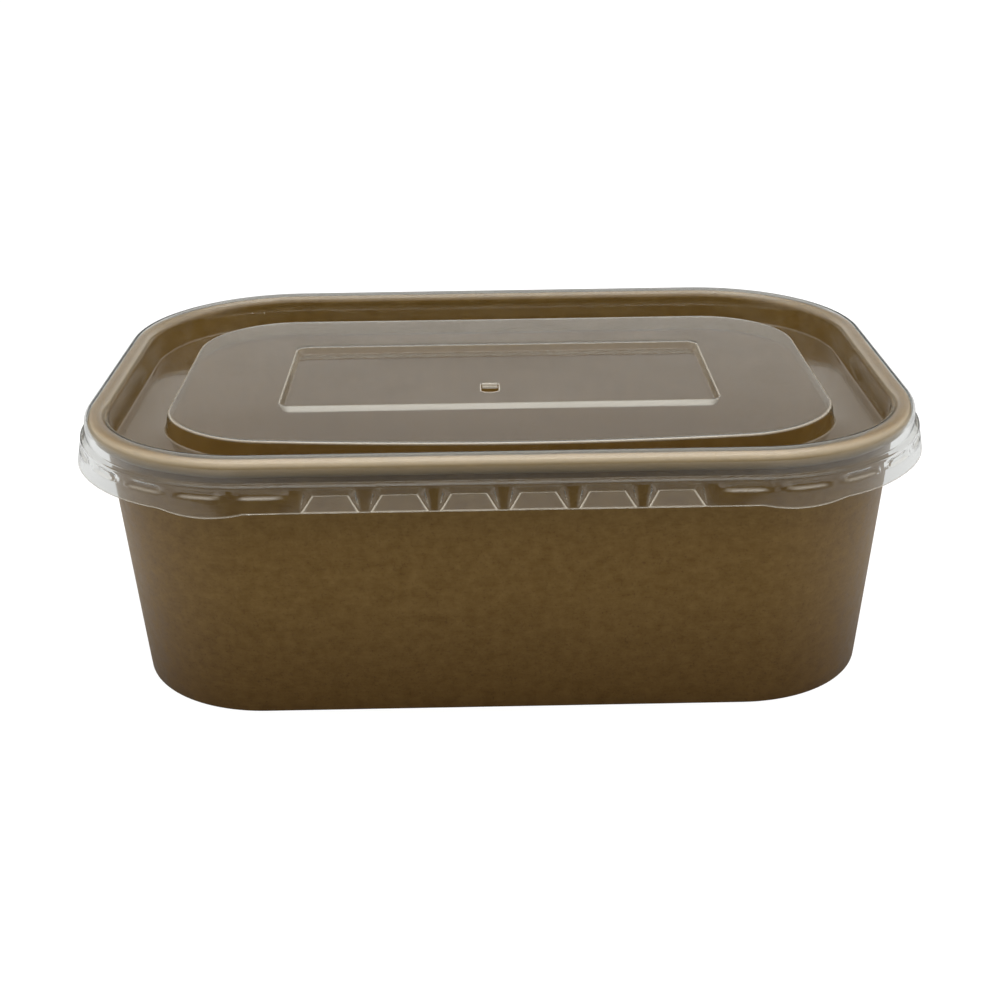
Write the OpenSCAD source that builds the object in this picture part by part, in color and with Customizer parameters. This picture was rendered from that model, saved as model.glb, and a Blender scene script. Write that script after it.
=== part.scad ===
// Rectangular paper food tub with a clear plastic press-on lid.
// Millimetres, +Z up. The origin is the middle of the footprint, on the surface the tub stands on.
// +X runs along the long side and +Y points to the back.
// Every ring of the tub and lid is a profile drawn as [reach, height] and swept round one core
// rectangle, where reach is the distance outwards from that rectangle. The corners are then cones
// on shared axes, as they are on a wrapped paper wall.

/* [Paper tub] */
// Width over the rolled rim, along X
tub_w = 172; // [150:1:200]
// Depth over the rolled rim, along Y
tub_d = 119; // [105:1:140]
// Height from the bottom edge to the top of the rolled rim
tub_h = 58.7; // [45:0.1:80]
// Corner radius over the rolled rim
rim_corner_r = 36.5; // [34:0.5:42]
// How far the wall leans in on each side, from the rim down to the bottom edge
wall_lean = 4.6; // [3:0.1:7]
// Thickness of the paperboard
board_t = 0.5; // [0.4:0.05:0.6]
// Outer diameter of the rolled rim
roll_d = 3.7; // [3.2:0.1:4.5]
// Angle of the gap between the end of the roll and the wall
roll_gap_angle = 50; // [40:5:70]
// Height of the tub's floor above the surface it stands on
floor_h = 6.3; // [5:0.1:8]
// Height of the hem that is folded up inside the bottom edge
hem_h = 4.8; // [3.5:0.1:6]
// Radius where the base panel turns down into its skirt
base_bend_r = 0.9; // [0.7:0.1:1.2]
// Width of the glued overlap where the wrapped wall meets itself
seam_w = 8; // [5:0.5:12]
// Thickness of a glue line between two layers of board
glue_gap = 0.05; // [0.03:0.01:0.08]

/* [Lid] */
// Thickness of the formed sheet
lid_t = 0.4; // [0.3:0.05:0.5]
// Clearance between the lid and the sides of the rim or wall
lid_side_gap = 0.25; // [0.2:0.05:0.4]
// Clearance between the lid and the top of the rim
lid_seat_gap = 0.15; // [0.1:0.05:0.3]
// Radius of the two shoulders of the channel that covers the rim
shoulder_r = 1.1; // [0.8:0.1:1.3]
// Depth of the stacking channel below the lid's top
channel_drop = 7.3; // [6.5:0.1:9]
// Width of the stacking channel, measured on its floor
channel_w = 10.2; // [9:0.1:12]
// Height of the middle panel above the floor of the stacking channel
panel_rise = 4.1; // [3.5:0.1:5]
// How far the middle panel's wall leans in over its height
panel_draft = 0.8; // [0.4:0.1:1.2]
// Radius of the small bends in the formed sheet
bend_r = 0.6; // [0.4:0.1:0.8]
// Width of the sunken rectangle in the middle panel
recess_w = 94; // [80:1:96]
// Depth of the sunken rectangle along Y
recess_d = 44; // [36:1:45]
// How far the rectangle is sunk
recess_drop = 1.5; // [1:0.1:2]
// Corner radius of the sunken rectangle
recess_corner_r = 2.5; // [1:0.5:4]

/* [Lid skirt] */
// Height of the skirt below the lid's top
skirt_h = 10.1; // [9:0.1:12]
// Drop from the lid's top to the ledge under the rim channel
ledge_drop = 5.1; // [4.8:0.1:5.6]
// How far the ledge steps out
ledge_step = 1.1; // [0.9:0.1:1.5]
// How far the skirt below the ledge flares out
skirt_flare = 1; // [0.5:0.1:1.5]
// Distance between the middles of neighbouring lugs
lug_pitch = 13.2; // [12.6:0.2:16]
// Width of a lug at the skirt's bottom edge
lug_foot_w = 11; // [10:0.5:12]
// Width of a lug at its crest
lug_crest_w = 6.8; // [6:0.1:8]
// Height of a lug's crest above the skirt's bottom edge
lug_crest_h = 2.7; // [2.4:0.1:3.3]
// Room kept free at each end of a long side for its end dimple
long_end_room = 8; // [7:0.5:9]
// Room kept free at each end of a short side
short_end_room = 3; // [2:0.5:4]
// Length of a corner dimple
dimple_l = 8.4; // [6:0.2:9]
// Height of a corner dimple
dimple_h = 2; // [1.6:0.1:2.2]
// Depth of a corner dimple
dimple_depth = 0.5; // [0.3:0.1:0.6]
// Angle from a long side to the first dimple on a corner
dimple_first = 13; // [11:1:15]
// Angle between neighbouring dimples on a corner
dimple_step = 18; // [16:1:22]
// How far the skirt hangs lower at each lift tab
tab_drop = 0.9; // [0.5:0.1:1.3]
// Length of a lift tab along the skirt
tab_l = 17; // [12:1:20]

/* [Vent] */
// Width of the steam vent cut in the sunken rectangle
vent_w = 4; // [3:0.1:5]
// Length of the vent from its flap's fold to its round end
vent_l = 6.2; // [4.5:0.1:7]
// Length of the flap that stays in the vent
vent_flap_l = 4.2; // [3:0.1:4.2]
// Width of the cut along each side of the flap
vent_cut = 0.3; // [0.2:0.05:0.4]
// Place of the flap's fold along X
vent_x = -2; // [-10:0.5:10]
// Place of the flap's fold along Y
vent_y = -1.5; // [-6:0.5:8]

/* [Hidden] */
$fn = 64;
// A cut runs this far past the faces it opens
past = 1;
board_colour = [0.42, 0.33, 0.2];
base_colour = [0.36, 0.28, 0.17];
lid_colour = [0.82, 0.85, 0.86, 0.4];

// Core rectangle that every ring is swept round
core_x = tub_w / 2 - rim_corner_r;
core_y = tub_d / 2 - rim_corner_r;

// Paper tub: reach of the rim, of the wall's outer face and of the layers at the bottom edge
rim_u = rim_corner_r;
roll_r = roll_d / 2;
roll_u = rim_u - roll_r;
roll_z = tub_h - roll_r;
wall_top_u = rim_u - roll_d + board_t;
function wall_u(z) = wall_top_u - wall_lean * (1 - z / roll_z);
layer = board_t + glue_gap;
hem_inner = 2 * layer + board_t;
fold_r = board_t;
base_u = wall_u(floor_h - base_bend_r) - layer;
seam_low = board_t;
seam_high = tub_h - roll_d - board_t;

// Lid: heights
lid_top = tub_h + lid_seat_gap + lid_t;
channel_z = lid_top - channel_drop;
panel_z = channel_z + panel_rise;
recess_z = panel_z - recess_drop;
skirt_z = lid_top - skirt_h;
ledge_z = lid_top - ledge_drop;
crest_z = skirt_z + lug_crest_h;
// Lid: reach of the middle of the sheet
half_t = lid_t / 2;
bead_u = rim_u + lid_side_gap + half_t;
plug_top_u = rim_u - roll_d - lid_side_gap - half_t;
plug_foot_u = wall_u(channel_z - lid_t) - board_t - lid_side_gap - half_t;
panel_foot_u = plug_foot_u - channel_w;
panel_edge_u = panel_foot_u - panel_draft;
ledge_u = bead_u + ledge_step;
skirt_foot_u = ledge_u + skirt_flare;
function skirt_u(z) = ledge_u + skirt_flare * (ledge_z - z) / (ledge_z - skirt_z);
dimple_z = ledge_z - dimple_h / 2 - half_t;
tab_angle = tab_l / skirt_foot_u * 180 / PI;
tab_flare = skirt_flare * tab_drop / (ledge_z - skirt_z);
// Bends of the lid's profile: the radius at the ledge, and the steps that round each bend
tight_r = bend_r / 2;
bend_steps = 2;
shoulder_steps = 4;
// Height at which the lugs' dents start, just under the ledge
brow_z = ledge_z - half_t - tight_r;

// Geometry helpers

function unit(v) = v / norm(v);

// Points of the arc that rounds the corner at b, between a and c
function corner_arc(a, b, c, r, steps) =
    let (p = unit(a - b),
         q = unit(c - b),
         half = acos(p * q) / 2,
         middle = b + unit(p + q) * r / sin(half),
         start = b + p * r / tan(half) - middle,
         turn = sign(cross(p, q)) * (2 * half - 180))
    [for (i = [0:steps])
        let (w = turn * i / steps)
        middle + [start.x * cos(w) - start.y * sin(w), start.x * sin(w) + start.y * cos(w)]];

function flat(v) = [v.x, v.y];

// A path of [x, y, radius, steps] corners as plain points, its ends kept sharp
function rounded_path(path) =
    [for (i = [0:len(path) - 1])
        each i == 0 || i == len(path) - 1 ? [flat(path[i])] :
            corner_arc(flat(path[i - 1]), flat(path[i]), flat(path[i + 1]), path[i].z, path[i][3])];

// A point of a path moved sideways by d, to its left
function beside(points, i, d) =
    let (last = len(points) - 1,
         before = unit(points[min(i + 1, last)] - points[min(i, last - 1)]),
         after = unit(points[max(i, 1)] - points[max(i - 1, 0)]),
         n1 = [-before.y, before.x],
         n2 = [-after.y, after.x],
         n = unit(n1 + n2))
    points[i] + n * d / (n * n1);

// A sheet of thickness t that follows the middle line given by points
module sheet_profile(points, t) {
    last = len(points) - 1;
    polygon(concat(
        [for (i = [0:last]) beside(points, i, t / 2)],
        [for (i = [last:-1:0]) beside(points, i, -t / 2)]));
}

// Sweeps a [reach, height] profile along a straight side; its reach points to +X
module stretch(length) {
    translate([0, length / 2, 0]) rotate([90, 0, 0]) linear_extrude(height = length) children();
}

// Children drawn for a side whose reach points to +X are put on both long sides
module on_long_sides() {
    translate([0, core_y, 0]) rotate([0, 0, 90]) children();
    translate([0, -core_y, 0]) rotate([0, 0, -90]) children();
}

// The same for both short sides
module on_short_sides() {
    translate([core_x, 0, 0]) children();
    translate([-core_x, 0, 0]) rotate([0, 0, 180]) children();
}

// Children drawn for the corner at +X and +Y, about that corner's axis, are put on all four
module on_corners() {
    for (sx = [0, 1], sy = [0, 1])
        mirror([sx, 0, 0]) mirror([0, sy, 0]) translate([core_x, core_y, 0]) children();
}

// Sweeps a profile all the way round
module ring() {
    on_long_sides() stretch(2 * core_x) children();
    on_short_sides() stretch(2 * core_y) children();
    on_corners() rotate_extrude(angle = 90) children();
}

// A plate that fills everything within a reach of the core rectangle
module plate(reach, z, t) {
    translate([0, 0, z]) linear_extrude(height = t)
        rounded_rectangle(2 * (core_x + reach), 2 * (core_y + reach), reach);
}

module rounded_rectangle(w, d, r) {
    square([w - 2 * r, d], center = true);
    square([w, d - 2 * r], center = true);
    for (sx = [-1, 1], sy = [-1, 1])
        translate([sx * (w / 2 - r), sy * (d / 2 - r)]) circle(r = r);
}

// A slot with round ends, its length along X
module stadium(length, width) {
    square([length - width, width], center = true);
    for (side = [-1, 1]) translate([side * (length - width) / 2, 0]) circle(d = width);
}

// Paper tub

// The wall, from its bottom fold up to the height of the roll's middle
module wall_profile() {
    polygon([
        [wall_u(0), fold_r], [wall_u(roll_z), roll_z],
        [wall_u(roll_z) - board_t, roll_z], [wall_u(0) - board_t, fold_r]]);
}

// The edge folded in under the base's skirt and up behind it
module hem_profile() {
    polygon([
        [wall_u(0) - hem_inner + board_t, fold_r], [wall_u(hem_h) - hem_inner + board_t, hem_h],
        [wall_u(hem_h) - hem_inner, hem_h], [wall_u(0) - hem_inner, fold_r]]);
    translate([wall_u(0) - hem_inner, 0]) {
        translate([fold_r, 0]) square([hem_inner - 2 * fold_r, board_t]);
        for (u = [fold_r, hem_inner - fold_r])
            intersection() {
                translate([u, fold_r]) circle(r = fold_r);
                translate([u < hem_inner / 2 ? 0 : u, 0]) square([fold_r, fold_r]);
            }
    }
}

// The board curled outwards over the top and back down towards the wall
module roll_profile() {
    wall_side = 183;
    translate([roll_u, roll_z]) difference() {
        circle(r = roll_r);
        circle(r = roll_r - board_t);
        polygon([[0, 0], for (turn = [0, 0.5, 1])
            let (a = wall_side + turn * roll_gap_angle) roll_d * [cos(a), sin(a)]]);
    }
}

// The second layer of board where the wrapped wall is glued to itself, at the back
module seam() {
    translate([0, core_y, 0]) rotate([0, 0, 90]) stretch(seam_w)
        polygon([
            [wall_u(0) - board_t / 2, seam_low], [wall_u(0) + board_t, seam_low],
            [wall_u(seam_high) + board_t, seam_high], [wall_u(seam_high) - board_t / 2, seam_high]]);
}

module sidewall() {
    color(board_colour) {
        ring() {
            wall_profile();
            hem_profile();
            roll_profile();
        }
        seam();
    }
}

// The base: a pan whose edge is turned down and held between the wall and the hem
module base_panel() {
    color(base_colour) {
        ring() base_skirt_profile();
        plate(base_u - base_bend_r, floor_h - board_t, board_t);
    }
}

module base_skirt_profile() {
    low = board_t + glue_gap;
    high = floor_h - base_bend_r;
    polygon([
        [wall_u(low) - layer, low], [base_u, high],
        [base_u - board_t, high], [wall_u(low) - layer - board_t, low]]);
    translate([base_u - base_bend_r, high]) intersection() {
        difference() {
            circle(r = base_bend_r);
            circle(r = base_bend_r - board_t);
        }
        square(base_bend_r);
    }
}

// Lid

// Middle line of the formed sheet, from the skirt's bottom edge to the middle panel
module lid_profile() {
    top = lid_top - half_t;
    path = [
        [skirt_foot_u, skirt_z],
        [ledge_u, ledge_z, tight_r, bend_steps],
        [bead_u, ledge_z + half_t, tight_r, bend_steps],
        [bead_u, top, shoulder_r, shoulder_steps],
        [plug_top_u, top, shoulder_r, shoulder_steps],
        [plug_foot_u, channel_z - half_t, bend_r, bend_steps],
        [panel_foot_u, channel_z - half_t, bend_r, bend_steps],
        [panel_edge_u, panel_z - half_t, bend_r, bend_steps],
        [panel_edge_u - 2 * bend_r, panel_z - half_t]];
    sheet_profile(rounded_path(path), lid_t);
}

// The middle panel, with a shallow tray formed into it
module panel() {
    difference() {
        union() {
            plate(panel_edge_u - bend_r, panel_z - lid_t, lid_t);
            translate([0, 0, recess_z - lid_t]) linear_extrude(height = recess_drop + lid_t / 2)
                rounded_rectangle(recess_w + 2 * lid_t, recess_d + 2 * lid_t, recess_corner_r + lid_t);
        }
        translate([0, 0, recess_z]) linear_extrude(height = recess_drop + past)
            rounded_rectangle(recess_w, recess_d, recess_corner_r);
        vent();
    }
}

// The opening round the vent's flap, which stays joined at its straight fold
module vent() {
    translate([vent_x, vent_y, recess_z - lid_t - past]) linear_extrude(height = lid_t + 2 * past)
        difference() {
            tongue(vent_w, vent_l);
            flap_w = vent_w - 2 * vent_cut;
            translate([-flap_w / 2, -vent_flap_l]) square([flap_w, vent_flap_l + past]);
        }
}

// A tongue that starts at the origin and points to -Y, with a shallow round end
module tongue(width, length) {
    round_l = width / 4;
    end_r = (pow(width / 2, 2) + pow(round_l, 2)) / round_l / 2;
    translate([-width / 2, round_l - length]) square([width, length - round_l]);
    intersection() {
        translate([0, end_r - length]) circle(r = end_r);
        translate([-width / 2, -length]) square([width, round_l]);
    }
}

// One lug, for a side whose reach points to +X. A lug is a dent shaped like a hipped roof, pressed
// inwards to a crest. At sheet 0 it is the dent that is taken off the outside. At one sheet it is the
// sheet that backs the dent.
module lug(sheet) {
    intersection() {
        translate([0, lug_foot_w, 0]) rotate([90, 0, 0]) linear_extrude(height = 2 * lug_foot_w)
            lug_section(sheet);
        translate([0, 0, skirt_z - past]) linear_extrude(height = ledge_z - skirt_z + 2 * past)
            lug_plan(sheet);
    }
}

module lug_section(sheet) {
    open = sheet > 0 ? 0 : past;
    foot_u = skirt_foot_u + half_t;
    polygon([
        [skirt_u(brow_z) + half_t + open, brow_z + sheet / 2],
        [skirt_u(brow_z) + half_t - sheet, brow_z + sheet / 2],
        [bead_u + half_t - sheet, crest_z],
        [foot_u - sheet, skirt_z],
        [foot_u - sheet, skirt_z - open],
        [foot_u + open, skirt_z - open]]);
}

// A lug from above, with the hips at its two ends: narrow at the crest and wide at the skirt's foot
module lug_plan(margin) {
    slope = (lug_foot_w - lug_crest_w) / (skirt_foot_u - bead_u) / 2;
    inner_half = lug_crest_w / 2 + margin - slope * past;
    outer_half = lug_foot_w / 2 + margin + slope * past;
    inner_u = bead_u + half_t - past;
    outer_u = skirt_foot_u + half_t + past;
    polygon([
        [inner_u, -inner_half], [outer_u, -outer_half], [outer_u, outer_half], [inner_u, inner_half]]);
}

function lug_count(side, end_room) = floor(2 * (side - end_room) / lug_pitch);

module lug_row(side, end_room, sheet) {
    count = lug_count(side, end_room);
    for (i = [0:count - 1]) translate([0, (i - (count - 1) / 2) * lug_pitch, 0]) lug(sheet);
}

module lugs(sheet) {
    on_long_sides() lug_row(core_x, long_end_room, sheet);
    on_short_sides() lug_row(core_y, short_end_room, sheet);
}

// One dimple, pressed inwards through a skirt whose reach points to +X, with sheet as for a lug
module dimple(sheet) {
    bottom_u = skirt_u(dimple_z) + half_t - dimple_depth;
    translate([bottom_u - sheet, 0, dimple_z]) rotate([90, 0, 90])
        linear_extrude(height = dimple_depth + (sheet > 0 ? sheet / 2 : past))
            stadium(dimple_l + 2 * sheet, dimple_h + 2 * sheet);
}

module dimples(sheet) {
    end = (lug_count(core_x, long_end_room) + 1) / 2 * lug_pitch;
    on_long_sides() for (side = [-1, 1]) translate([0, side * end, 0]) dimple(sheet);
    on_corners() for (a = [90 - dimple_first:-dimple_step:0]) rotate([0, 0, a]) dimple(sheet);
}

// A lift tab: the skirt carried a little lower on a long arc, just round each corner
module lift_tab() {
    arc_r = (pow(tab_l / 2, 2) + pow(tab_drop, 2)) / tab_drop / 2;
    rotate([0, 0, 90 - tab_angle]) intersection() {
        rotate_extrude(angle = tab_angle) polygon([
            [skirt_foot_u - half_t, skirt_z], [skirt_foot_u + half_t, skirt_z],
            [skirt_foot_u + half_t + tab_flare, skirt_z - tab_drop],
            [skirt_foot_u - half_t + tab_flare, skirt_z - tab_drop]]);
        rotate([0, 0, tab_angle / 2]) translate([0, 0, skirt_z - tab_drop + arc_r])
            rotate([0, 90, 0]) cylinder(h = skirt_foot_u + past, r = arc_r);
    }
}

module lid() {
    color(lid_colour) {
        difference() {
            union() {
                ring() lid_profile();
                lugs(lid_t);
                dimples(lid_t);
                on_corners() lift_tab();
            }
            lugs(0);
            dimples(0);
        }
        panel();
    }
}

sidewall();
base_panel();
lid();
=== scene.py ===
"""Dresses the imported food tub: a brown paperboard tub with a clear formed lid, on a pale floor.

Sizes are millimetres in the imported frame: +X along the long side, +Y to the back, +Z up. Every ring
is a line of (reach, height) points swept round the tub's core rectangle, where reach is the distance
outwards from that rectangle. A sheet is such a ring with the sheet's thickness laid to both sides.
"""

import math

import bpy
import numpy as np
from mathutils import Matrix, Vector


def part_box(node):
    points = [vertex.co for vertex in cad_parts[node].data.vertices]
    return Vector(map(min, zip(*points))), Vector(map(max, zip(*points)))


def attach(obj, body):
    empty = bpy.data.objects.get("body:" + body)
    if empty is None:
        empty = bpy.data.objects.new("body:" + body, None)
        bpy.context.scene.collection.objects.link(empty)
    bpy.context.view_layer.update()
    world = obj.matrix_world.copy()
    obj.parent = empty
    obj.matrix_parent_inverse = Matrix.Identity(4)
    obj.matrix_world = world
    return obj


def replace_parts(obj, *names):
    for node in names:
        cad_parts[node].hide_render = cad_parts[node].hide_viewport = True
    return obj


MM = 0.001
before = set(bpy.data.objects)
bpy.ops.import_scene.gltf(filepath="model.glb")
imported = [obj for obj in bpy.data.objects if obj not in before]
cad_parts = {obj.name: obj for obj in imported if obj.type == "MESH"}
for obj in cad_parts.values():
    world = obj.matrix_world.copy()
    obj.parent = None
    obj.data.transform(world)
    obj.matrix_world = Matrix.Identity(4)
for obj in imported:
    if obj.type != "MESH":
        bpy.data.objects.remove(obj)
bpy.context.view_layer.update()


def box_mm(node):
    """Highest corner of a CAD node, in millimetres."""
    return np.round(np.array(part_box(node)[1]) / MM, 2)


# ---- Sizes, as in the part's source
RIM_R = 36.5
WALL_LEAN = 4.6
BOARD_T = 0.5
ROLL_R = 1.85
GLUE_GAP = 0.05
HEM_H = 4.8
BASE_BEND_R = 0.9
SEAM_W = 8

LID_T = 0.4
SIDE_GAP = 0.25
CHANNEL_DROP = 7.3
CHANNEL_W = 10.2
PANEL_RISE = 4.1
PANEL_DRAFT = 0.8
BEND_R = 0.6
RECESS = np.array([94.0, 44.0]) / 2
RECESS_DROP = 1.5
RECESS_R = 2.5

SKIRT_H = 10.1
LEDGE_DROP = 5.1
LEDGE_STEP = 1.1
SKIRT_FLARE = 1.0
LUG_PITCH = 13.2
LUG_FOOT = 11.0
LUG_CREST = 6.8
LUG_CREST_H = 2.7
LONG_LUGS = 6
SHORT_LUGS = 3
DIMPLE_L = 8.4
DIMPLE_H = 2.0
DIMPLE_DEPTH = 0.5
DIMPLE_FIRST = 13
DIMPLE_STEP = 18
DIMPLE_COUNT = 5
TAB_DROP = 0.9
TAB_L = 17

VENT = np.array([-2.0, -1.5])
VENT_W = 4.0
VENT_L = 6.2
FLAP_W = 3.4

# ---- Forms that only the dressed part has
BEAD_R = 2.0  # shoulders of the channel over the rim
LEDGE_SLOPE = 0.35  # height by which the ledge under the bead rises inwards
DIMPLE_LOW = 0.3  # place of the dimples below the ledge's bend
DIMPLE_EDGE = 0.7  # width of a dimple's sloping edge
SKIRT_WAVE = 0.06  # half of the skirt's unevenness
EDGE_FALL = 0.1  # fall of the middle panel's edge
FRONT_PULL = 0.013  # shares of its depth by which the panel's front edge is drawn back: evenly,
FRONT_SKEW = 0.02  # more to the left
FRONT_BOW = 0.2  # and at its ends
RECESS_SHIFT = 2.4  # distance by which the sunken rectangle's front edge lies further back
RECESS_SAG = 0.2
LIP_R = 0.35  # bends of the sunken rectangle's wall
LIP_DRAFT = 0.3  # half of that wall's lean
LIP_FLAT = 1.6  # reach of the flat beside it
FLAP_L = 3.6
FLAP_BEND = 8  # degrees
ROLL_DENT = (0.10, 0.09)  # mean and swing of the rolled rim's flattening

# Painted highlight along the clear sheet's bends, in place of the bright lines that light makes there: 1 is
# a sharp bend, above 1 it also lets light through
BEAD_OUTSIDE_HIGHLIGHT, BEAD_INSIDE_HIGHLIGHT = 0.25, 0.2
LEDGE_HIGHLIGHT = 0.1
PLUG_HIGHLIGHT, PANEL_FOOT_HIGHLIGHT, PANEL_EDGE_HIGHLIGHT = 0.06, 0.12, 0.5
SKIRT_HIGHLIGHT = 0.75
DIMPLE_HIGHLIGHT = 0.22
LIP_TOP_HIGHLIGHT, LIP_FOOT_HIGHLIGHT, LIP_WALL_HIGHLIGHT = 0.5, 0.15, 1.35

# Heights of the skirt's rows over its bottom edge, close together at the lugs' crests
SKIRT_ROWS = [0, 0.1, 0.25, 0.7, 1.2, 1.8, 2.3, 2.54, 2.63, 2.7, 2.77, 2.86, 3.2, 3.5, 3.8, 4.1, 4.35, 4.55]
CORNER_STEPS = 60

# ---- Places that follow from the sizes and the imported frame
TUB_X, TUB_Y, TUB_H = box_mm("sidewall")
LID_TOP = box_mm("lid")[2]
FLOOR_H = box_mm("base_panel")[2]
CORE = np.array([TUB_X, TUB_Y]) - RIM_R
ROLL_Z = TUB_H - ROLL_R
ROLL_U = RIM_R - ROLL_R
WALL_TOP_U = RIM_R - 2 * ROLL_R + BOARD_T
LAYER = BOARD_T + GLUE_GAP

HALF_T = LID_T / 2
CHANNEL_Z = LID_TOP - CHANNEL_DROP
PANEL_Z = CHANNEL_Z + PANEL_RISE
RECESS_Z = PANEL_Z - RECESS_DROP
SKIRT_Z = LID_TOP - SKIRT_H
LEDGE_Z = LID_TOP - LEDGE_DROP
BEAD_U = RIM_R + SIDE_GAP + HALF_T
PLUG_TOP_U = RIM_R - 2 * ROLL_R - SIDE_GAP - HALF_T
LEDGE_U = BEAD_U + LEDGE_STEP
FOOT_U = LEDGE_U + SKIRT_FLARE


def wall_u(z):
    """Reach of the wall's outer face."""
    return WALL_TOP_U - WALL_LEAN * (1 - z / ROLL_Z)


PLUG_FOOT_U = wall_u(CHANNEL_Z - LID_T) - BOARD_T - SIDE_GAP - HALF_T
PANEL_FOOT_U = PLUG_FOOT_U - CHANNEL_W
PANEL_EDGE_U = PANEL_FOOT_U - PANEL_DRAFT


# ---- Lines and rings

def rounded(path):
    """Points of a line of (reach, height, radius, steps, highlight) corners, its two ends kept sharp, as
    rows of (reach, height, highlight): the painted highlight is full in the middle of a bend and 0 on
    the flats."""
    points = [(*path[0][:2], 0.0)]
    for a, (x, z, r, steps, crease_highlight), c in zip(path, path[1:], path[2:]):
        b = np.array([x, z], float)
        p = np.array(a[:2]) - b
        q = np.array(c[:2]) - b
        p, q = p / np.linalg.norm(p), q / np.linalg.norm(q)
        half = math.acos(p @ q) / 2
        middle = b + (p + q) / np.linalg.norm(p + q) * r / math.sin(half)
        start = b + p * r / math.tan(half) - middle
        turn = math.copysign(math.pi - 2 * half, q[0] * p[1] - q[1] * p[0])
        for i in range(steps + 1):
            w = turn * i / steps
            cos, sin = math.cos(w), math.sin(w)
            spot = middle + [start[0] * cos - start[1] * sin, start[0] * sin + start[1] * cos]
            points.append((*spot, crease_highlight * math.sin(math.pi * i / steps) ** 2))
    points.append((*path[-1][:2], 0.0))
    return np.array(points)


class Columns:
    """The places round the core rectangle at which a ring has points, anticlockwise from +X.

    quarter lists them for the +X +Y quarter, from the long side's middle to the short side's, as
    (side, place) with the place a distance from the side's middle, or degrees from the long side."""

    def __init__(self, quarter):
        side = np.array([s for s, _ in quarter])
        place = np.array([p for _, p in quarter], float)
        theta = np.where(side == "corner", np.radians(90 - place), 0)
        theta = np.where(side == "long", math.pi / 2, theta)
        x = np.where(side == "long", place, CORE[0])
        y = np.where(side == "short", place, CORE[1])
        middle, normal = np.stack([x, y], 1), np.stack([np.cos(theta), np.sin(theta)], 1)
        tangent = np.stack([side == "long", side == "short"], 1).astype(float)
        self.core = self.all_round(middle, mirrored=True)
        self.normal = self.all_round(normal, mirrored=True)
        self.tangent = self.all_round(tangent, mirrored=True)
        arc = np.where(side == "long", place, 0)
        arc = arc + np.where(side == "corner", CORE[0] + np.radians(place) * FOOT_U, 0)
        arc = arc + np.where(side == "short", CORE.sum() + math.pi / 2 * FOOT_U - place, 0)
        self.arc = self.all_round(arc)
        step = np.linalg.norm(np.diff(self.core + self.normal * RIM_R, axis=0, prepend=0), axis=1)
        step[0] = 0
        self.turn = np.cumsum(step) / (step.sum() + step[1])

    def all_round(self, values, mirrored=False):
        """Values of one quarter laid round all four, each middle column kept once."""
        parts = []
        for sx, sy, backwards in ((1, 1, True), (-1, 1, False), (-1, -1, True), (1, -1, False)):
            part = values * ([sx, sy] if mirrored else 1)
            part = part[::-1] if backwards else part
            parts.append(part[:-1])
        return np.concatenate(parts)

    def place(self, reach, height, along=0.0, core=None):
        """Points of rows of the ring: reach, height and the shift along a side, as (rows, columns)."""
        reach, height, along, _ = np.broadcast_arrays(reach, height, along, self.arc[None])
        middle = self.core if core is None else self.core * (core / CORE)
        flat = middle + self.normal * reach[..., None] + self.tangent * along[..., None]
        return np.concatenate([flat, height[..., None]], -1)


def plain_quarter(long_steps, corner_steps, short_steps):
    """A quarter of even steps along each side and round the corner."""
    return ([("long", CORE[0] * i / long_steps) for i in range(long_steps)]
            + [("corner", 90 * i / corner_steps) for i in range(corner_steps + 1)]
            + [("short", CORE[1] * (1 - i / short_steps)) for i in range(1, short_steps + 1)])


def wander(turn, waves, seed):
    """A smooth closed wobble of about unit size round the ring, made of these numbers of waves."""
    rng = np.random.default_rng(seed)
    parts = [rng.uniform(0.5, 1) * np.cos(2 * math.pi * (k * turn + rng.uniform())) for k in waves]
    return sum(parts) / math.sqrt(len(waves))


def normals(points):
    """Unit normals of a grid of points that is closed round its columns."""
    across = np.roll(points, -1, 1) - np.roll(points, 1, 1)
    down = np.gradient(points, axis=0)
    n = np.cross(across, down)
    return n / np.maximum(np.linalg.norm(n, axis=-1, keepdims=True), 1e-9)


def sheet_grid(points, thickness, edge=0.3):
    """A closed grid round a sheet: the points moved half its thickness to each side, joined over both
    edges by one rounded row."""
    side = normals(points) * thickness / 2
    out = np.stack([points[0] - points[1], points[-1] - points[-2]])
    out = out / np.linalg.norm(out, axis=-1, keepdims=True) * edge * thickness
    return np.concatenate([points + side, (points[-1] + out[1])[None],
                           (points - side)[::-1], (points[0] + out[0])[None]])


def mesh_piece(name, verts, faces, body, material, sharp=45):
    """A piece made of millimetre points, riding on its body, with its material and slot."""
    mesh = bpy.data.meshes.new(name)
    mesh.from_pydata((np.asarray(verts) * MM).tolist(), [], faces)
    mesh.update()
    mesh.shade_smooth()
    mesh.set_sharp_from_angle(angle=math.radians(sharp))
    mesh.materials.append(material)
    piece = bpy.data.objects.new(name, mesh)
    bpy.context.scene.collection.objects.link(piece)
    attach(piece, body)
    return piece


def grid_faces(rows, columns, closed_rows):
    """Quads of a grid that is closed round its columns and, if asked, its rows."""
    i, j = np.meshgrid(np.arange(rows if closed_rows else rows - 1), np.arange(columns), indexing="ij")
    i2, j2 = (i + 1) % rows, (j + 1) % columns
    quads = np.stack([i * columns + j, i * columns + j2, i2 * columns + j2, i2 * columns + j], -1)
    return quads.reshape(-1, 4).tolist()


def vertex_values(piece, name, values):
    """Stores one number for each point of a piece, for its material to read."""
    attribute = piece.data.attributes.new(name, "FLOAT", "POINT")
    attribute.data.foreach_set("value", np.asarray(values, np.float32))


def around_sheet(rows):
    """Values of a sheet's rows laid over both of its faces and its two edges, as in sheet_grid."""
    return np.concatenate([rows, rows[-1:], rows[::-1], rows[:1]])


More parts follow.
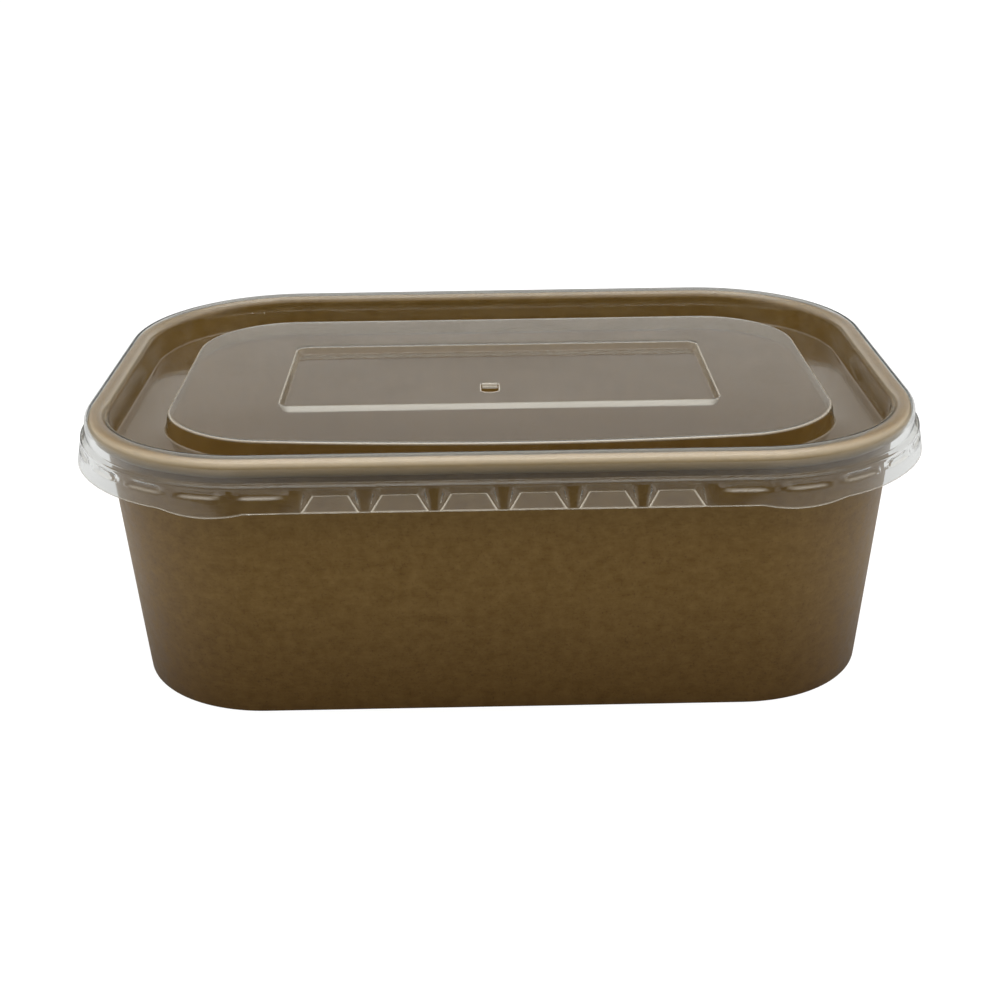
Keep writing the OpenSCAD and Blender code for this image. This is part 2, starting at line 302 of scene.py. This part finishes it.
# ---- Materials

def new_material(name):
    """A material with its node tree and its Principled shader."""
    material = bpy.data.materials.new(name)
    material.use_nodes = True
    tree = material.node_tree
    return material, tree, tree.nodes["Principled BSDF"]


def add_node(tree, kind, settings=None, **inputs):
    """A node with its properties and inputs set. An input that is a socket is linked."""
    node = tree.nodes.new("ShaderNode" + kind)
    for key, value in (settings or {}).items():
        setattr(node, key, value)
    for key, value in inputs.items():
        socket = node.inputs[int(key[1:])] if key[0] == "i" and key[1:].isdigit() else node.inputs[key]
        if isinstance(value, bpy.types.NodeSocket):
            tree.links.new(value, socket)
        else:
            socket.default_value = value
    return node


def ramp(tree, value, low, high, start=0.0, end=1.0):
    """A value mapped from start..end to low..high, and held there outside."""
    node = add_node(tree, "MapRange", None, Value=value)
    node.inputs["From Min"].default_value = start
    node.inputs["From Max"].default_value = end
    node.inputs["To Min"].default_value = low
    node.inputs["To Max"].default_value = high
    return node.outputs["Result"]


BOARD_DARK, BOARD_LIGHT = (0.118, 0.060, 0.006, 1), (0.204, 0.123, 0.036, 1)
# The foot colour is painted shade: it darkens the board towards its foot, below FOOT_SHADE_H
BOARD_SPECK, BOARD_FOOT_PAINTED_SHADE = (0.62, 0.56, 0.48, 1), (0.62, 0.56, 0.46, 1)
# Painted highlight colour for the rolled rim's outer face
BOARD_ROLL_HIGHLIGHT = (0.345, 0.262, 0.150, 1)
FOOT_SHADE_H = 28 * MM


def board_material(name):
    """Brown paperboard with a thin satin lining: soft mottling, fine fibres and a faint relief. It is paler
    where the roll's attribute is above 0, a painted highlight, and darker where it is below 0, painted
    shade; it is also darker towards its foot, painted shade."""
    material, tree, shader = new_material(name)
    place = add_node(tree, "TexCoord").outputs["Object"]
    mottle = add_node(tree, "TexNoise", None, Vector=place, Scale=420.0, Detail=6.0, Roughness=0.62)
    lying = add_node(tree, "Mapping", None, Vector=place, Scale=(420.0, 420.0, 1500.0))
    fibre = add_node(tree, "TexNoise", None, Vector=lying.outputs[0], Scale=1.0, Detail=5.0,
                     Roughness=0.7, Distortion=0.6)
    fleck = add_node(tree, "TexNoise", None, Vector=place, Scale=1900.0, Detail=2.0, Roughness=0.5)
    both = add_node(tree, "Math", {"operation": "MULTIPLY_ADD"}, i0=fibre.outputs["Fac"], i1=0.9,
                    i2=ramp(tree, mottle.outputs["Fac"], -0.25, 0.35, 0.3, 0.7))
    colour = add_node(tree, "Mix", {"data_type": "RGBA"}, Factor=both.outputs[0])
    colour.inputs[6].default_value = BOARD_DARK
    colour.inputs[7].default_value = BOARD_LIGHT
    specks = add_node(tree, "Mix", {"data_type": "RGBA", "blend_type": "MULTIPLY"},
                      Factor=ramp(tree, fleck.outputs["Fac"], 0.0, 0.7, 0.56, 0.76))
    tree.links.new(colour.outputs[2], specks.inputs[6])
    specks.inputs[7].default_value = BOARD_SPECK
    # Painted shade: the board is multiplied darker towards its foot
    height = add_node(tree, "SeparateXYZ", None, Vector=place).outputs["Z"]
    foot = add_node(tree, "Mix", {"data_type": "RGBA", "blend_type": "MULTIPLY"},
                    Factor=ramp(tree, height, 1.0, 0.0, 0.0, FOOT_SHADE_H))
    tree.links.new(specks.outputs[2], foot.inputs[6])
    foot.inputs[7].default_value = BOARD_FOOT_PAINTED_SHADE
    # Painted light on the rolled rim: darker where the value is below 0, painted shade, and paler where it
    # is above 0, painted highlight
    stretch = add_node(tree, "Attribute", {"attribute_name": "stretch"}).outputs["Fac"]
    pressed = add_node(tree, "VectorMath", {"operation": "SCALE"}, i0=foot.outputs[2],
                       Scale=ramp(tree, stretch, 0.6, 1.0, -1.0, 0.0))
    roll_painted_light = add_node(tree, "Mix", {"data_type": "RGBA"}, Factor=ramp(tree, stretch, 0.0, 0.6))
    tree.links.new(pressed.outputs[0], roll_painted_light.inputs[6])
    roll_painted_light.inputs[7].default_value = BOARD_ROLL_HIGHLIGHT
    tree.links.new(roll_painted_light.outputs[2], shader.inputs["Base Color"])
    tree.links.new(ramp(tree, mottle.outputs["Fac"], 0.34, 0.48, 0.3, 0.7), shader.inputs["Roughness"])
    shader.inputs["Specular IOR Level"].default_value = 0.38
    relief = add_node(tree, "Bump", None, Strength=0.12, Distance=0.0002, Height=both.outputs[0])
    tree.links.new(relief.outputs[0], shader.inputs["Normal"])
    return material


def clear_material(name):
    """Clear formed sheet, paler where its highlight attribute is above 0: a painted highlight along its
    bends. Lamps and bounced light pass straight through it, so the inside is lit."""
    material, tree, shader = new_material(name)
    shader.inputs["Base Color"].default_value = (0.935, 0.95, 0.94, 1)
    shader.inputs["Transmission Weight"].default_value = 1.0
    shader.inputs["IOR"].default_value = 1.5
    place = add_node(tree, "TexCoord").outputs["Object"]
    haze = add_node(tree, "TexNoise", None, Vector=place, Scale=90.0, Detail=3.0)
    tree.links.new(ramp(tree, haze.outputs["Fac"], 0.03, 0.09, 0.35, 0.7), shader.inputs["Roughness"])
    swell = add_node(tree, "TexNoise", None, Vector=place, Scale=120.0, Detail=2.0)
    relief = add_node(tree, "Bump", None, Strength=0.02, Distance=0.0005, Height=swell.outputs["Fac"])
    tree.links.new(relief.outputs[0], shader.inputs["Normal"])
    rays = add_node(tree, "LightPath").outputs
    passing = add_node(tree, "Math", {"operation": "MAXIMUM"}, i0=rays["Is Shadow Ray"],
                       i1=rays["Is Diffuse Ray"])
    through = add_node(tree, "BsdfTransparent", None, Color=(0.90, 0.90, 0.88, 1))
    # Painted highlight along the sheet's bends: a pale diffuse, partly lit through where the amount passes
    # 1
    bent = add_node(tree, "Attribute", {"attribute_name": "crease_highlight"}).outputs["Fac"]
    pale = add_node(tree, "BsdfDiffuse", None, Color=(0.74, 0.68, 0.58, 1))
    glowing = add_node(tree, "BsdfTranslucent", None, Color=(0.86, 0.82, 0.75, 1))
    highlight_shader = add_node(tree, "MixShader", None, i0=ramp(tree, bent, 0.0, 0.9, 1.0, 1.5), i1=pale.outputs[0],
                    i2=glowing.outputs[0])
    with_highlight = add_node(tree, "MixShader", None, i0=ramp(tree, bent, 0.0, 0.54, 0.0, 1.5),
                       i1=shader.outputs[0], i2=highlight_shader.outputs[0])
    mixed = add_node(tree, "MixShader", None, i0=passing.outputs[0], i1=with_highlight.outputs[0],
                     i2=through.outputs[0])
    tree.links.new(mixed.outputs[0], tree.nodes["Material Output"].inputs["Surface"])
    return material


board = board_material("brown_board")
base_board = board_material("brown_board_base")
clear = clear_material("clear_sheet")


# ---- Tub

def build_sidewall():
    """One strip of board: hem, bottom fold, leaning wall and the roll at the top."""
    hem_u = wall_u(0) - BOARD_T / 2
    inner_u = hem_u - 2 * LAYER
    slope = wall_u(HEM_H) - wall_u(0)
    half_t = BOARD_T / 2
    fold = rounded([(inner_u + slope, HEM_H), (inner_u, half_t, half_t, 4, 0),
                    (hem_u, half_t, half_t, 4, 0), (wall_u(ROLL_Z) - half_t, ROLL_Z)])[:-1, :2]
    heights = np.linspace(3, ROLL_Z - 1, 12)
    wall = np.stack([wall_u(heights) - BOARD_T / 2, heights], 1)
    turns = np.radians(np.linspace(180, -120, 26))
    r = ROLL_R - BOARD_T / 2
    roll = np.stack([ROLL_U + r * np.cos(turns), ROLL_Z + r * np.sin(turns)], 1)
    line = np.concatenate([fold, wall, roll])
    columns = Columns(plain_quarter(30, 30, 14))
    rows = len(line)
    turn = columns.turn
    first_roll = len(fold) + len(wall)
    amount = np.zeros(rows)
    amount[first_roll:] = np.sin(np.linspace(0, math.pi, len(roll))) ** 0.7
    swing = np.sin(np.linspace(0, 3 * math.pi, rows))[:, None]
    wobble = (wander(turn, (17, 23, 31, 38), 3)[None] * 0.5
              + wander(turn, (29, 41, 53), 5)[None] * swing * 0.5)
    dent = amount[:, None] * (ROLL_DENT[0] + ROLL_DENT[1] * wobble)
    toward = np.zeros((rows, 2))
    toward[first_roll:] = np.stack([np.cos(turns), np.sin(turns)], 1)
    reach = line[:, :1] - dent * toward[:, :1]
    height = line[:, 1:] - dent * toward[:, 1:]
    points = columns.place(reach, height)
    grid = sheet_grid(points, BOARD_T)
    faces = grid_faces(grid.shape[0], grid.shape[1], True)
    verts = grid.reshape(-1, 3)
    strip, strip_faces = seam(len(verts))
    piece = mesh_piece("board_wall", np.concatenate([verts, strip]), faces + strip_faces,
                       "tub", board)
    # Painted light on the rolled rim: paler round its outer face, a painted highlight, and darker over its
    # top and inner side, painted shade
    stretch = np.zeros(rows)
    stretch[first_roll:] = np.interp(np.degrees(turns), [-120, -60, 0, 45, 70, 120, 180],
                                     [0, 0.9, 1, 0.7, -0.3, -1, -0.3])
    stretch = np.repeat(around_sheet(stretch), len(columns.arc))
    vertex_values(piece, "stretch", np.concatenate([stretch, np.zeros(len(strip))]))
    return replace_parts(piece, "sidewall")


def seam(start):
    """The glued overlap at the back: a second layer of board on the wall's outside, as points and
    faces that count from start."""
    low, high, edge = BOARD_T, TUB_H - 2 * ROLL_R - BOARD_T, 0.1
    half = SEAM_W / 2
    section = [(-half, -edge), (half, -edge), (half, BOARD_T - edge), (half - edge, BOARD_T),
               (edge - half, BOARD_T), (-half, BOARD_T - edge)]
    heights = [low, low + edge, *np.linspace(low, high, 8)[1:-1], high - edge, high]
    verts, faces, count = [], [], len(section)
    for z in heights:
        for x, out in section:
            verts.append((x, CORE[1] + wall_u(z) + out, z))
    for i in range(len(heights) - 1):
        for k in range(count):
            a, b = start + count * i + k, start + count * i + (k + 1) % count
            faces.append([a, b, b + count, a + count])
    last = start + count * (len(heights) - 1)
    faces += [list(range(start, start + count))[::-1], list(range(last, last + count))]
    return np.array(verts), faces


def build_base():
    """The base: a pan whose turned-down edge is held between the wall and the hem."""
    low = BOARD_T + GLUE_GAP
    high = FLOOR_H - BASE_BEND_R
    base_u = wall_u(high) - LAYER - BOARD_T / 2
    mid_z = FLOOR_H - BOARD_T / 2
    line = rounded([(wall_u(low) - LAYER - BOARD_T / 2, low),
                    (base_u, mid_z, BASE_BEND_R - BOARD_T / 2, 5, 0), (10, mid_z)])
    columns = Columns(plain_quarter(12, 20, 6))
    points = columns.place(line[:, :1], line[:, 1:2])
    side = normals(points) * BOARD_T / 2
    grid = np.concatenate([(points + side)[::-1], points - side])
    rows, count = grid.shape[:2]
    faces = grid_faces(rows, count, False)
    faces += [list(range(count))[::-1], list(range((rows - 1) * count, rows * count))]
    piece = mesh_piece("board_base", grid.reshape(-1, 3), faces, "tub", base_board)
    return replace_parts(piece, "base_panel")


# ---- Lid

def lug_columns(centre):
    """Columns of one lug from its middle outwards, as (centre, share of the crest line's half width,
    share of the outline's half width, offset, depth, painted highlight)."""
    face = [(centre, a, 0, -0.2 * a, 1, 0) for a in (0, 0.7, 0.93)] + [(centre, 1, 0, -0.09, 1, 1)]
    hip = [(centre, 1 - f, f, b, 1 - f, c)
           for f, b, c in ((0, 0.04, 1), (0.06, 0.12, 0), (0.5, 0.165, 0), (0.92, 0.21, 0.15))]
    rib = [(centre, 0, 1 - f, 0.25 * (1 - f) + f * LUG_PITCH / 2, 0, 0.15 * (f == 0))
           for f in (0, 0.5)]
    return face + hip + rib


def side_columns(count, end):
    """Columns of half a side with lugs, from its middle to its end, and the skirt beyond the lugs."""
    found = []
    for i in range(count):
        centre = (i - (count - 1) / 2) * LUG_PITCH
        if centre < -1e-6:
            continue
        outer = lug_columns(centre)
        if centre > 1e-6:
            found += [(c, -a, -e, -b, d, m) for c, a, e, b, d, m in outer[:0:-1]]
        found += outer
        found.append((centre + LUG_PITCH / 2, 0, 0, 0, 0, 0))
    if count % 2 == 0:
        found.insert(0, (0, 0, 0, 0, 0, 0))
    last = found[-1][0]
    steps = max(2, round(end - last))
    found += [(last + (end - last) * i / steps, 0, 0, 0, 0, 0) for i in range(1, steps)]
    return found


def skirt_u(height):
    """Reach of the plain skirt."""
    return LEDGE_U + SKIRT_FLARE * (LEDGE_Z - height) / (LEDGE_Z - SKIRT_Z)


def lug_u(height):
    """Reach of a lug's face: out from under the ledge in to its crest, and out to the foot."""
    crest_z = SKIRT_Z + LUG_CREST_H
    brow_z = LEDGE_Z - HALF_T - BEND_R / 2
    return np.interp(height, [SKIRT_Z, crest_z, brow_z], [FOOT_U, BEAD_U, skirt_u(brow_z)])


def build_lid():
    """One formed sheet, from the skirt's bottom edge over the rim and in to the vent."""
    long_side = side_columns(LONG_LUGS, CORE[0])
    short_side = side_columns(SHORT_LUGS, CORE[1])
    corner = [(0, 0, 0, 0, 0, 0)] * (CORNER_STEPS + 1)
    lug = np.array(long_side + corner + short_side[::-1], float)
    sides = ["long"] * len(long_side) + ["corner"] * len(corner) + ["short"] * len(short_side)
    half_crest, half_foot = LUG_CREST / 2, LUG_FOOT / 2
    mean_half = (half_crest + half_foot) / 2
    along = lug[:, 0] + (lug[:, 1] + lug[:, 2]) * mean_half + lug[:, 3]
    along[len(long_side):len(long_side) + len(corner)] = np.linspace(0, 90, len(corner))
    columns = Columns(list(zip(sides, along)))
    share_crest, share_edge, depth, fold = (columns.all_round(lug[:, k]) for k in (1, 2, 4, 5))

    top = LID_TOP - HALF_T
    skirt = SKIRT_Z + np.array(SKIRT_ROWS)
    line = rounded([
        (skirt_u(skirt[-1]), skirt[-1]),
        (LEDGE_U, LEDGE_Z, BEND_R / 2, 3, LEDGE_HIGHLIGHT),
        (BEAD_U, LEDGE_Z + LEDGE_SLOPE, BEND_R / 2, 3, LEDGE_HIGHLIGHT),
        (BEAD_U, top, BEAD_R, 7, BEAD_OUTSIDE_HIGHLIGHT),
        (PLUG_TOP_U, top, BEAD_R, 7, BEAD_INSIDE_HIGHLIGHT),
        (PLUG_FOOT_U, CHANNEL_Z - HALF_T, BEND_R, 3, PLUG_HIGHLIGHT),
        (PANEL_FOOT_U, CHANNEL_Z - HALF_T, BEND_R, 3, PANEL_FOOT_HIGHLIGHT),
        (PANEL_EDGE_U, PANEL_Z - HALF_T, BEND_R, 4, PANEL_EDGE_HIGHLIGHT),
        (PANEL_EDGE_U - 2 * BEND_R, PANEL_Z - HALF_T)])[1:]

    # Skirt: flat ribs with lugs between them, dimples round the corners and a lower edge at the tabs
    height = skirt[:, None]
    rib, face = skirt_u(height), lug_u(height)
    slope = (half_foot - half_crest) / (FOOT_U - BEAD_U)
    crest_half = half_crest + slope * (face - BEAD_U)
    edge_half = half_crest + slope * (rib - BEAD_U)
    shift = share_crest * (crest_half - mean_half) + share_edge * (edge_half - mean_half)
    reach = rib + depth * (face - rib)
    reach = reach - DIMPLE_DEPTH * dimples(columns, height)
    # Painted highlight along the lugs' crests and folds, the skirt's bottom edge and the dimples' outlines
    crest = np.clip(2.2 - np.abs(height - SKIRT_Z - LUG_CREST_H) / 0.07, 0, 1) * (depth > 0.97)
    below = np.where(height < SKIRT_Z + LUG_CREST_H + 0.05, 1, 0.25) * (height < skirt[-2])
    edge = np.clip(1 - (height - SKIRT_Z) / 0.2, 0, 1)
    skirt_highlight = SKIRT_HIGHLIGHT * np.maximum(np.maximum(crest, fold * below), edge)
    skirt_highlight = np.maximum(skirt_highlight, dimple_highlight(columns, height))
    drop = TAB_DROP * tabs(columns)
    lowered = height - drop * np.clip(1 - (height - SKIRT_Z) / 2.0, 0, 1)
    reach = reach + SKIRT_FLARE * (height - lowered) / (LEDGE_Z - SKIRT_Z)
    wave = wander(columns.turn, (9, 13, 21, 34), 11) * np.clip((LEDGE_Z - height) / 5, 0, 1)
    skirt_points = columns.place(reach - SKIRT_WAVE * (1 + wave), lowered, shift)

    # From the ledge to the middle panel's edge. The bead has a painted highlight outside at the front,
    # inside at the sides
    upper = columns.place(line[:, :1], line[:, 1:2])
    front = np.clip(-columns.normal[:, 1], 0, 1)
    beside = np.abs(columns.normal[:, 0])
    high = line[:, 1:2] > LEDGE_Z + 1
    outside, inside = high & (line[:, :1] > ROLL_U), high & (line[:, :1] > PLUG_FOOT_U)
    upper_highlight = line[:, 2:] * np.where(outside, front, np.where(inside, beside, 1))
    sag = np.clip((BEAD_U - 6 - line[:, :1]) / 10, 0, 1)
    upper[..., 2] -= sag * 0.05 * (1 + wander(columns.turn, (2, 3, 5, 8), 7))
    on_panel = np.clip((PLUG_FOOT_U - line[:, :1]) / CHANNEL_W, 0, 1)
    upper[..., 2] -= EDGE_FALL * on_panel
    across = upper[..., 0] / TUB_X
    pull = FRONT_PULL - FRONT_SKEW * across + FRONT_BOW * across**2
    upper[..., 1] *= 1 - on_panel * pull * (upper[..., 1] < 0)

    panel, panel_highlight = panel_rows(columns, upper[-1])
    points = np.concatenate([skirt_points, upper, panel])
    crease_highlight = around_sheet(np.concatenate([skirt_highlight, upper_highlight, panel_highlight]))
    grid = sheet_grid(points, LID_T)
    rows, count = grid.shape[:2]
    verts, faces = grid.reshape(-1, 3), grid_faces(rows, count, True)
    flap_verts, flap_faces, flap_highlight = flap(len(verts))
    piece = mesh_piece("clear_lid", np.concatenate([verts, flap_verts]), faces + flap_faces,
                       "lid", clear, sharp=50)
    vertex_values(piece, "crease_highlight", np.concatenate([crease_highlight.ravel(), flap_highlight]))
    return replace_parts(piece, "lid")


def dimple_highlight(columns, height):
    """Painted highlight at the outlines of the dimples."""
    depth = dimples(columns, height)
    return DIMPLE_HIGHLIGHT * np.clip(4 * depth * (1 - depth), 0, 1) ** 2


def dimples(columns, height):
    """Depth, from 0 to 1, of the long dimples pressed into the skirt at the corners and side ends."""
    middle_z = LEDGE_Z - DIMPLE_H / 2 - HALF_T - DIMPLE_LOW
    centres = [(LONG_LUGS + 1) / 2 * LUG_PITCH]
    centres += [CORE[0] + math.radians(DIMPLE_FIRST + i * DIMPLE_STEP) * FOOT_U
                for i in range(DIMPLE_COUNT)]
    found = np.zeros(np.broadcast(height, columns.arc).shape)
    for centre in centres:
        beyond = np.maximum(np.abs(columns.arc - centre) - (DIMPLE_L - DIMPLE_H) / 2, 0)
        inside = DIMPLE_H / 2 - np.hypot(beyond, height - middle_z)
        t = np.clip(inside / DIMPLE_EDGE, 0, 1)
        found = np.maximum(found, t * t * (3 - 2 * t))
    return found


def tabs(columns):
    """Height, from 0 to 1, of the low arc at each lift tab, just round each corner."""
    x = (columns.arc - CORE[0] - TAB_L / 2) / (TAB_L / 2)
    return np.clip(1 - x * x, 0, 1)


def panel_rows(columns, start):
    """Rows from the middle panel's edge over its sunken rectangle and in to the vent's outline, as
    points and painted highlight. The rectangle's wall has a painted highlight, strongest at the front."""
    recess_core = RECESS - RECESS_R - [0, RECESS_SHIFT / 2]
    top, floor = PANEL_Z - HALF_T, RECESS_Z - HALF_T - RECESS_SAG
    lip = rounded([(RECESS_R + LIP_FLAT, top),
                   (RECESS_R + LIP_DRAFT, top, LIP_R, 4, LIP_TOP_HIGHLIGHT),
                   (RECESS_R - LIP_DRAFT, floor, LIP_R, 3, LIP_FOOT_HIGHLIGHT),
                   (RECESS_R - LIP_FLAT, floor)])
    rim = columns.place(lip[:, :1], lip[:, 1:2], core=recess_core)
    rim[..., 1] += RECESS_SHIFT / 2
    between = (start + (rim[0] - start) * 0.5)[None]
    last = rim[-1]
    angle = np.arctan2(last[:, 1] - VENT[1] + VENT_L / 2, last[:, 0] - VENT[0])
    hole = vent_outline(angle)
    inward = np.array([0.25, 0.5, 0.8])[:, None, None]
    away = (last - hole) / np.linalg.norm(last - hole, axis=1, keepdims=True)
    near = hole + away * np.array([0.3, 0.15, 0])[:, None, None]
    inner = np.concatenate([last + (hole - last) * inward, near])
    inner[..., 2] = floor + crown(inner[..., 0], inner[..., 1])
    # Painted highlight on the sunken rectangle's wall, strongest at the front, where it is partly lit
    # through
    wall = (lip[:, 1] < top - 0.05) & (lip[:, 1] > floor + 0.05)
    wall_highlight = LIP_WALL_HIGHLIGHT * wall[:, None] * np.clip(-columns.normal[:, 1], 0.15, 1)
    lip_highlight = np.maximum(lip[:, 2:], wall_highlight)
    vent_edge_highlight = np.concatenate([[0] * len(inward), [0, 0.45, 0.65]])[:, None] * np.ones(len(angle))
    points = np.concatenate([between, rim, inner])
    return points, np.concatenate([0 * between[..., 0], lip_highlight, vent_edge_highlight])


def crown(x, y):
    """Height by which the sunken rectangle's floor stands above its edge, below 0 where it sags."""
    edge_x, edge_y = RECESS - RECESS_R
    along = np.clip(1 - (x / edge_x) ** 2, 0, 1)
    return -RECESS_SAG * along * np.clip(1 - ((y - RECESS_SHIFT / 2) / edge_y) ** 2, 0, 1)


def vent_outline(angle):
    """Points of the vent's opening at these angles about its middle: straight sides, a shallow round
    front and the flap's fold at the back."""
    round_l = VENT_W / 4
    end_r = ((VENT_W / 2) ** 2 + round_l**2) / round_l / 2
    cos, sin = np.cos(angle), np.sin(angle)
    far = np.minimum(VENT_W / 2 / np.maximum(np.abs(cos), 1e-6),
                     VENT_L / 2 / np.maximum(np.abs(sin), 1e-6))
    centre_y = end_r - VENT_L / 2
    root = np.sqrt(np.maximum((centre_y * sin) ** 2 - centre_y**2 + end_r**2, 0))
    far = np.where(sin < 0, np.minimum(far, centre_y * sin + root), far)
    middle = VENT - [0, VENT_L / 2]
    z = np.full_like(angle, RECESS_Z - HALF_T)
    return np.stack([middle[0] + far * cos, middle[1] + far * sin, z], 1)


def flap(start):
    """The vent's flap, joined at its fold and bent a little upwards, as points, faces that count from
    start, and painted highlight amounts."""
    steps = np.linspace(0, 1, 7)
    bend = np.radians(FLAP_BEND) * steps
    y = VENT[1] + 0.15 - FLAP_L * steps * np.cos(bend * 0.6)
    z = RECESS_Z - HALF_T - RECESS_SAG + crown(*VENT) + FLAP_L * steps * np.sin(bend * 0.6)
    verts, faces, crease_highlight = [], [], []
    for yy, zz in zip(y, z):
        for x, h in ((-1, 1), (1, 1), (1, -1), (-1, -1)):
            verts.append((VENT[0] + x * FLAP_W / 2, yy, zz + h * HALF_T * 0.95))
            crease_highlight.append(0.3 + 0.7 * (yy == y[-1]))
    for i in range(len(y) - 1):
        for k in range(4):
            a, b = start + 4 * i + k, start + 4 * i + (k + 1) % 4
            faces.append([b, a, a + 4, b + 4])
    end = start + 4 * (len(y) - 1)
    faces += [[start, start + 1, start + 2, start + 3], [end + 3, end + 2, end + 1, end]]
    return np.array(verts), faces, crease_highlight


build_sidewall()
build_base()
build_lid()

# ---- Camera: where the photograph's camera stood, from a fit to its outline
FOCAL = 1.55749  # focal length over the picture's width
EYE = Vector((-3.86, -333.59, 166.01)) * MM
TARGET = Vector((-0.02, 0.0, 25.02)) * MM
ROLL = math.radians(-0.74)

camera_data = bpy.data.cameras.new("camera")
camera_data.sensor_width = 36
camera_data.lens = FOCAL * camera_data.sensor_width
camera = bpy.data.objects.new("camera", camera_data)
bpy.context.scene.collection.objects.link(camera)
look = (TARGET - EYE).normalized()
right = look.cross(Vector((0, 0, 1))).normalized()
up = right.cross(look)
right, up = (right * math.cos(ROLL) + up * math.sin(ROLL),
             up * math.cos(ROLL) - right * math.sin(ROLL))
camera.matrix_world = Matrix.Translation(EYE) @ Matrix((right, up, -look)).transposed().to_4x4()
bpy.context.scene.camera = camera


# ---- Floor, background and light

def background_strength(tree, lit, around, direct=1.0):
    """Strength of a background: direct for the camera, around in mirrors and through clear sheet, and
    lit for the light that it gives."""
    rays = add_node(tree, "LightPath").outputs
    mirrored = add_node(tree, "Math", {"operation": "MAXIMUM"}, i0=rays["Is Glossy Ray"],
                        i1=rays["Is Transmission Ray"]).outputs[0]
    other = add_node(tree, "Mix", None, Factor=mirrored, A=lit, B=around)
    return add_node(tree, "Mix", None, Factor=rays["Is Camera Ray"], A=other.outputs[0],
                    B=direct).outputs[0]


FLOOR_HALF = 3.0  # metres
floor_corners = [(-FLOOR_HALF, -FLOOR_HALF, 0), (FLOOR_HALF, -FLOOR_HALF, 0),
                 (FLOOR_HALF, FLOOR_HALF, 0), (-FLOOR_HALF, FLOOR_HALF, 0)]
floor_mesh = bpy.data.meshes.new("floor")
floor_mesh.from_pydata(floor_corners, [], [(0, 1, 2, 3)])
floor = bpy.data.objects.new("floor", floor_mesh)
bpy.context.scene.collection.objects.link(floor)
material, tree, shader = new_material("floor_white")
shader.inputs["Base Color"].default_value = (0.15, 0.15, 0.148, 1)
shader.inputs["Roughness"].default_value = 0.9
shader.inputs["Specular IOR Level"].default_value = 0.0
shader.inputs["Emission Color"].default_value = (1, 1, 1, 1)
place = add_node(tree, "TexCoord").outputs["Object"]
where = add_node(tree, "SeparateXYZ", None, Vector=place)
aside = add_node(tree, "Math", {"operation": "ABSOLUTE"}, i0=where.outputs["X"]).outputs[0]
mirrored = ramp(tree, aside, 0.08, 0.50, 0.06, 0.13)
far = add_node(tree, "VectorMath", {"operation": "LENGTH"}, i0=place).outputs["Value"]
white = ramp(tree, far, 0.90, 1.0, 0.25, 0.9)
tree.links.new(background_strength(tree, 0.0, mirrored, white), shader.inputs["Emission Strength"])
floor_mesh.materials.append(material)

# What mirrors and clear sheet see of the studio, by direction: a soft band low behind, light above,
# overhead and to both sides, and dark in front
world = bpy.data.worlds.new("world")
world.use_nodes = True
bpy.context.scene.world = world
backdrop = world.node_tree.nodes["Background"]
tree = world.node_tree
tint = add_node(tree, "Mix", {"data_type": "RGBA"},
                Factor=add_node(tree, "LightPath").outputs["Is Camera Ray"])
tint.inputs[6].default_value = (1.0, 0.965, 0.90, 1)
tint.inputs[7].default_value = (1, 1, 1, 1)
tree.links.new(tint.outputs[2], backdrop.inputs["Color"])
way = add_node(tree, "SeparateXYZ", None, Vector=add_node(tree, "TexCoord").outputs["Generated"])
back = add_node(tree, "Math", {"operation": "MULTIPLY"},
                i0=ramp(tree, way.outputs["Y"], 0.0, 1.0, 0.0, 0.8),
                i1=ramp(tree, way.outputs["Z"], 0.65, 0.22, 0.25, 0.55)).outputs[0]
back = add_node(tree, "Math", {"operation": "MULTIPLY"}, i0=back,
                i1=ramp(tree, way.outputs["Z"], 0.0, 1.0, 0.17, 0.27)).outputs[0]
above = add_node(tree, "Math", {"operation": "MULTIPLY"},
                 i0=ramp(tree, way.outputs["Z"], 0.0, 1.1, 0.20, 0.85),
                 i1=ramp(tree, way.outputs["Y"], 1.0, 0.1, 0.1, 0.8)).outputs[0]
overhead = ramp(tree, way.outputs["Z"], 0.0, 1.6, 0.80, 0.97)
across = add_node(tree, "Math", {"operation": "ABSOLUTE"}, i0=way.outputs["X"]).outputs[0]
beside = ramp(tree, across, 0.0, 0.5, 0.6, 0.95)
around = add_node(tree, "Math", None, i0=back, i1=above).outputs[0]
around = add_node(tree, "Math", None, i0=around, i1=beside).outputs[0]
around = add_node(tree, "Math", None, i0=around, i1=overhead).outputs[0]
tree.links.new(background_strength(tree, 0.33, around), backdrop.inputs["Strength"])


MIDDLE = Vector((0, 0, 0.03))


def area_lamp(name, place, width, depth, power):
    """A lamp in metres and watts, aimed at the tub and not seen in mirrors or through clear sheet."""
    data = bpy.data.lights.new(name, "AREA")
    data.shape = "RECTANGLE"
    data.size, data.size_y, data.energy = width, depth, power
    lamp = bpy.data.objects.new(name, data)
    lamp.location = place
    lamp.rotation_euler = (MIDDLE - lamp.location).to_track_quat("-Z", "Y").to_euler()
    lamp.visible_glossy = lamp.visible_transmission = False
    bpy.context.scene.collection.objects.link(lamp)


area_lamp("top", (0.05, 0.10, 0.95), 0.9, 0.7, 13.5)
area_lamp("left", (-0.85, 0.15, 0.45), 0.5, 0.8, 3.6)
area_lamp("right", (0.85, 0.15, 0.45), 0.5, 0.8, 3.1)
area_lamp("front", (0.0, -0.78, 0.85), 1.2, 0.4, 7.4)

bpy.context.scene.view_settings.view_transform = "Standard"
